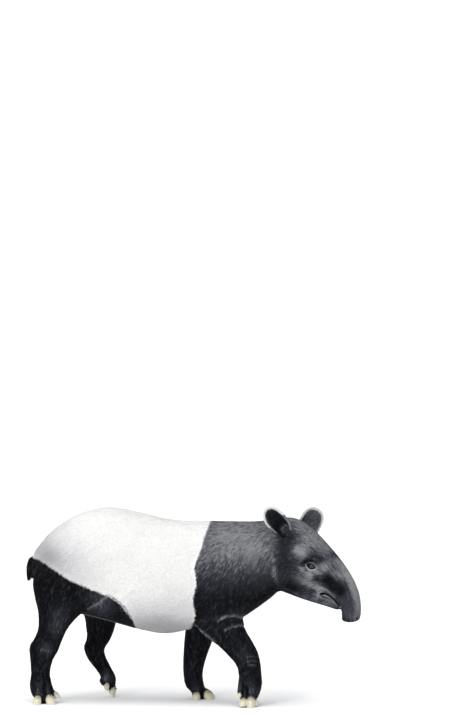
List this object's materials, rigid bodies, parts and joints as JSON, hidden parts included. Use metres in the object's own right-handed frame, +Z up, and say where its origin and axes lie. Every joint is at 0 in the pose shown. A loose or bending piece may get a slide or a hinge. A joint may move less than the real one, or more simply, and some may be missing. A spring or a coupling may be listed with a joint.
{
  "type": "malayan tapir",
  "caption": "Adult Malayan tapir in mid walk, black with a white saddle, head low with a drooping snout, as a still life-size model.",
  "frame": {"origin": "on the floor under the middle of the whole model's bounding box", "axes": "+X from the tail toward the head, +Y toward the animal's left, +Z up"},
  "size_m": [1.8694, 0.5554, 1.0971],
  "materials": {
    "white_coat": "short matte white hair",
    "black_coat": "short black hair with a slight sheen",
    "eye": "wet gloss",
    "hoof_horn": "dull pale horn"
  },
  "bodies": {
    "root": {"torso": "white_coat", "neck": "black_coat", "head": "black_coat", "proboscis": "black_coat", "ear_right": "black_coat", "ear_left": "black_coat", "tail": "black_coat", "foreleg_right": "black_coat", "foreleg_left": "black_coat", "hindleg_right": "black_coat", "hindleg_left": "black_coat", "eye_right": "eye", "eye_left": "eye", "hoof_fore_right_2": "hoof_horn", "hoof_fore_right_3": "hoof_horn", "hoof_fore_right_4": "hoof_horn", "hoof_fore_right_5": "hoof_horn", "hoof_fore_left_2": "hoof_horn", "hoof_fore_left_3": "hoof_horn", "hoof_fore_left_4": "hoof_horn", "hoof_fore_left_5": "hoof_horn", "hoof_hind_right_2": "hoof_horn", "hoof_hind_right_3": "hoof_horn", "hoof_hind_right_4": "hoof_horn", "hoof_hind_left_2": "hoof_horn", "hoof_hind_left_3": "hoof_horn", "hoof_hind_left_4": "hoof_horn"}
  },
  "joints": []
}
